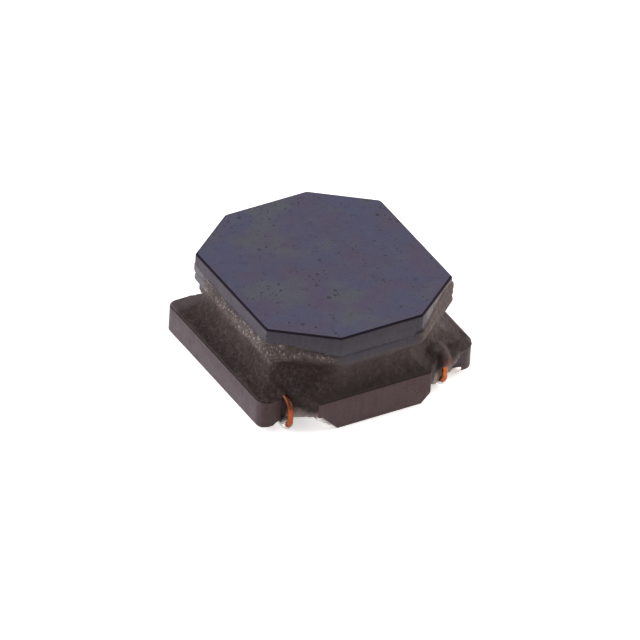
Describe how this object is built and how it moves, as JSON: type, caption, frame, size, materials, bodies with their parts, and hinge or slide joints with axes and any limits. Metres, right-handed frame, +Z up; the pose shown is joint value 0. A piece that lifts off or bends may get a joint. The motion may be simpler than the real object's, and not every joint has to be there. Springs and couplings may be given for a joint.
{
  "type": "shielded smd inductor",
  "caption": "Shielded surface-mount power inductor: ferrite drum core with an octagonal top flange, magnetic resin round the winding and soldered underside terminals.",
  "frame": {"origin": "middle of the seating plane, the lowest plane of the base and its terminals", "axes": "+Z up to the pick-up face; X runs across the two terminals; both wire leads come out on the -Y side"},
  "size_m": [0.006, 0.006, 0.0026],
  "materials": {
    "ferrite": "smooth ground ferrite with fine pores",
    "copper_wire": "clear enamel over copper",
    "magnetic_resin": "granular ferrite-filled epoxy",
    "plating": "fired silver with nickel and tin plating",
    "solder": "bright tin solder"
  },
  "bodies": {
    "root": {"drum_core": "ferrite", "winding": "copper_wire", "resin_fill": "magnetic_resin", "terminal_left": "plating", "terminal_right": "plating", "solder_left": "solder", "solder_right": "solder"}
  },
  "joints": []
}
